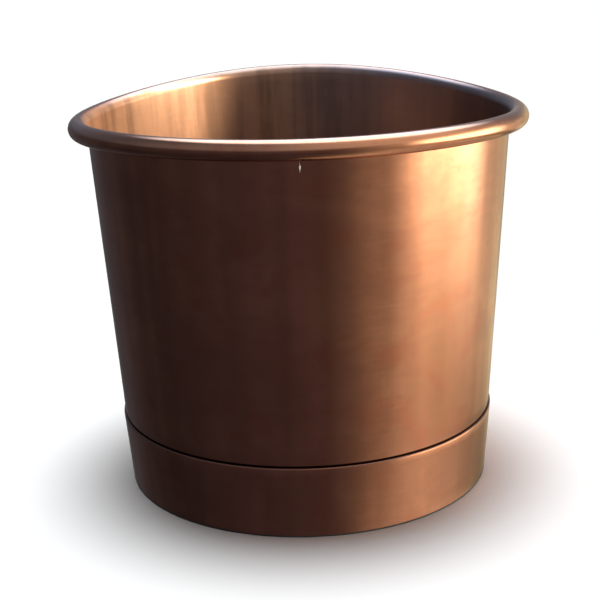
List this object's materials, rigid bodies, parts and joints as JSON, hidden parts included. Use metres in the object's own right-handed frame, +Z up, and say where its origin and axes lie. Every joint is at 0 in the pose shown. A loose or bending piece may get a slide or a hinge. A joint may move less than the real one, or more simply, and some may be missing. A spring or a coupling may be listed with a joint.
{
  "type": "freestanding bathtub",
  "caption": "Round freestanding copper soaking tub with tapered walls, an outward rolled rim, a sheet plinth on a levelled frame, and a centre drain with a click stopper.",
  "frame": {"origin": "centre of the round footprint at floor level", "axes": "+Z up, front of the tub towards -Y, +X to its right seen from the front; the wall seams are at -Y and +Y"},
  "size_m": [1, 1, 0.845],
  "materials": {
    "copper_wall": "antique copper, waxed, fine horizontal brushing",
    "copper_plinth": "antique copper, waxed, fine horizontal brushing",
    "copper_pan": "antique copper, satin",
    "copper_band": "darkened copper",
    "copper_trim": "polished copper plate",
    "seam_filler": "copper-coloured brazing filler, filed flush",
    "yellow_brass": "machined brass",
    "frame_steel": "black powder coat",
    "zinc_steel": "zinc plate",
    "black_rubber": "matte",
    "black_nylon": "moulded",
    "white_nylon": "moulded",
    "plywood": "varnished marine plywood",
    "grey_foam": "closed-cell foam"
  },
  "bodies": {
    "tub": {"wall_left": "copper_wall", "wall_right": "copper_wall", "seam_solder": "seam_filler", "rim_core": "frame_steel", "floor_pan": "copper_pan", "joint_band": "copper_band", "plinth_skirt": "copper_plinth", "skirt_seam_strap": "copper_band", "floor_seal": "black_rubber", "skirt_spacers": "white_nylon", "spacer_screws": "zinc_steel", "floor_bedding": "grey_foam", "support_board": "plywood", "board_screws": "zinc_steel", "frame_ring": "frame_steel", "bearer_left": "frame_steel", "bearer_right": "frame_steel", "bearer_front": "frame_steel", "bearer_back": "frame_steel", "side_arm_left": "frame_steel", "side_arm_right": "frame_steel", "earth_tag": "yellow_brass", "earth_screw": "yellow_brass", "leg_front_left": "frame_steel", "leg_front_right": "frame_steel", "leg_back_left": "frame_steel", "leg_back_right": "frame_steel", "foot_locknuts": "zinc_steel", "drain_flange": "copper_trim", "drain_top_seal": "black_rubber", "drain_gasket": "black_rubber", "drain_slip_washer": "white_nylon", "drain_locknut": "yellow_brass", "tailpiece": "yellow_brass", "tailpiece_washer": "black_rubber", "tailpiece_nut": "yellow_brass", "click_cartridge": "yellow_brass", "click_spring": "zinc_steel"},
    "foot_front_left": {"foot_stud_front_left": "zinc_steel", "foot_pad_front_left": "black_nylon"},
    "foot_front_right": {"foot_stud_front_right": "zinc_steel", "foot_pad_front_right": "black_nylon"},
    "foot_back_left": {"foot_stud_back_left": "zinc_steel", "foot_pad_back_left": "black_nylon"},
    "foot_back_right": {"foot_stud_back_right": "zinc_steel", "foot_pad_back_right": "black_nylon"},
    "stopper": {"stopper_stem": "yellow_brass", "stopper_cap": "copper_trim", "stopper_seal": "black_rubber"}
  },
  "joints": [
    {"name": "foot_front_left_thread", "type": "slide", "parent": "tub", "child": "foot_front_left", "axis": [0, 0, 1], "range_m": [-0.015, 0]},
    {"name": "foot_front_right_thread", "type": "slide", "parent": "tub", "child": "foot_front_right", "axis": [0, 0, 1], "range_m": [-0.015, 0]},
    {"name": "foot_back_left_thread", "type": "slide", "parent": "tub", "child": "foot_back_left", "axis": [0, 0, 1], "range_m": [-0.015, 0]},
    {"name": "foot_back_right_thread", "type": "slide", "parent": "tub", "child": "foot_back_right", "axis": [0, 0, 1], "range_m": [-0.015, 0]},
    {"name": "stopper_slide", "type": "slide", "parent": "tub", "child": "stopper", "axis": [0, 0, 1], "range_m": [0, 0.01], "deforming": ["click_spring"]}
  ]
}
